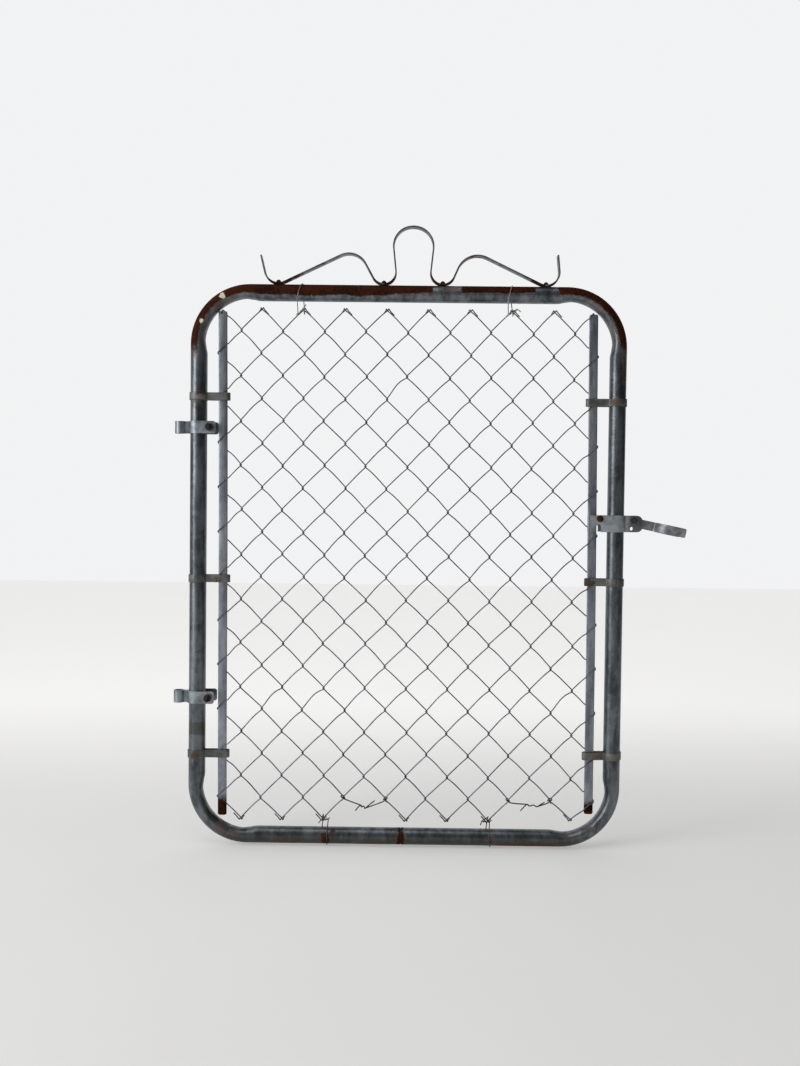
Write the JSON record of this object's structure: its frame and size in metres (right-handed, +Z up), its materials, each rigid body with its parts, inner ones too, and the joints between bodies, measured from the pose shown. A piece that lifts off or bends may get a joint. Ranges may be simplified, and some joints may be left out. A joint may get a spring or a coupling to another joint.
{
  "type": "chain-link walk gate",
  "caption": "Galvanised chain-link walk gate with a bent tube frame, strap hinges, a swinging fork latch and a bent flat-bar scroll on the top rail.",
  "frame": {"origin": "centre of the lower hinge eye's bore", "axes": "+Z up along the hinge eyes' common axis, +X from the hinges towards the latch, front face towards -Y"},
  "size_m": [1.0615, 0.0646, 1.2923],
  "materials": {
    "zinc_tube": "weathered hot-dip zinc with red-brown rust on the top rail and corners",
    "zinc_bar": "smooth lavender-grey zinc, rusted at the foot",
    "zinc_band": "dull greenish grey zinc with rust spots",
    "zinc_fitting": "dull grey zinc",
    "zinc_fork": "dull grey zinc, brighter on the bends",
    "zinc_strip": "dark grey zinc with brown rust",
    "zinc_wire": "dark grey zinc wire with rust spots",
    "tie_wire": "dark rusting wire",
    "rusty_fastener": "dark brown rust"
  },
  "bodies": {
    "gate": {"frame_tube": "zinc_tube", "frame_splice_sleeve": "zinc_tube", "tension_bar_left": "zinc_bar", "tension_bar_right": "zinc_bar", "tension_band_left_upper": "zinc_band", "tension_band_left_middle": "zinc_band", "tension_band_left_lower": "zinc_band", "tension_band_right_upper": "zinc_band", "tension_band_right_middle": "zinc_band", "tension_band_right_lower": "zinc_band", "hinge_strap_upper": "zinc_fitting", "hinge_strap_lower": "zinc_fitting", "hinge_bolts": "rusty_fastener", "hinge_washers": "zinc_fitting", "hinge_nuts": "rusty_fastener", "latch_clamp_front": "zinc_fitting", "latch_clamp_rear": "zinc_fitting", "latch_clamp_bolt": "rusty_fastener", "latch_clamp_nut": "rusty_fastener", "latch_pivot_bolt": "rusty_fastener", "latch_pivot_nut": "rusty_fastener", "scroll_strip": "zinc_strip", "scroll_rivets": "rusty_fastener", "mesh_wire_01": "zinc_wire", "mesh_wire_02": "zinc_wire", "mesh_wire_03": "zinc_wire", "mesh_wire_04": "zinc_wire", "mesh_wire_05": "zinc_wire", "mesh_wire_06": "zinc_wire", "mesh_wire_07": "zinc_wire", "mesh_wire_08": "zinc_wire", "mesh_wire_09": "zinc_wire", "mesh_wire_10": "zinc_wire", "mesh_wire_11": "zinc_wire", "mesh_wire_12": "zinc_wire", "mesh_wire_13": "zinc_wire", "mesh_wire_14": "zinc_wire", "mesh_wire_15": "zinc_wire", "mesh_wire_16": "zinc_wire", "mesh_wire_17": "zinc_wire", "mesh_wire_18": "zinc_wire", "tie_wire_top_left": "tie_wire", "tie_wire_top_right": "tie_wire", "tie_wire_bottom_left": "tie_wire", "tie_wire_bottom_right": "tie_wire", "repair_wire_left": "tie_wire", "repair_wire_right": "tie_wire"},
    "latch_fork": {"fork_tine_front": "zinc_fork", "fork_tine_rear": "zinc_fork"}
  },
  "joints": [
    {"name": "fork_pivot", "type": "hinge", "parent": "gate", "child": "latch_fork", "pos_m": [0.9452, 0, 0.3788], "axis": [0, -1, 0], "range_deg": [0, 115]}
  ]
}
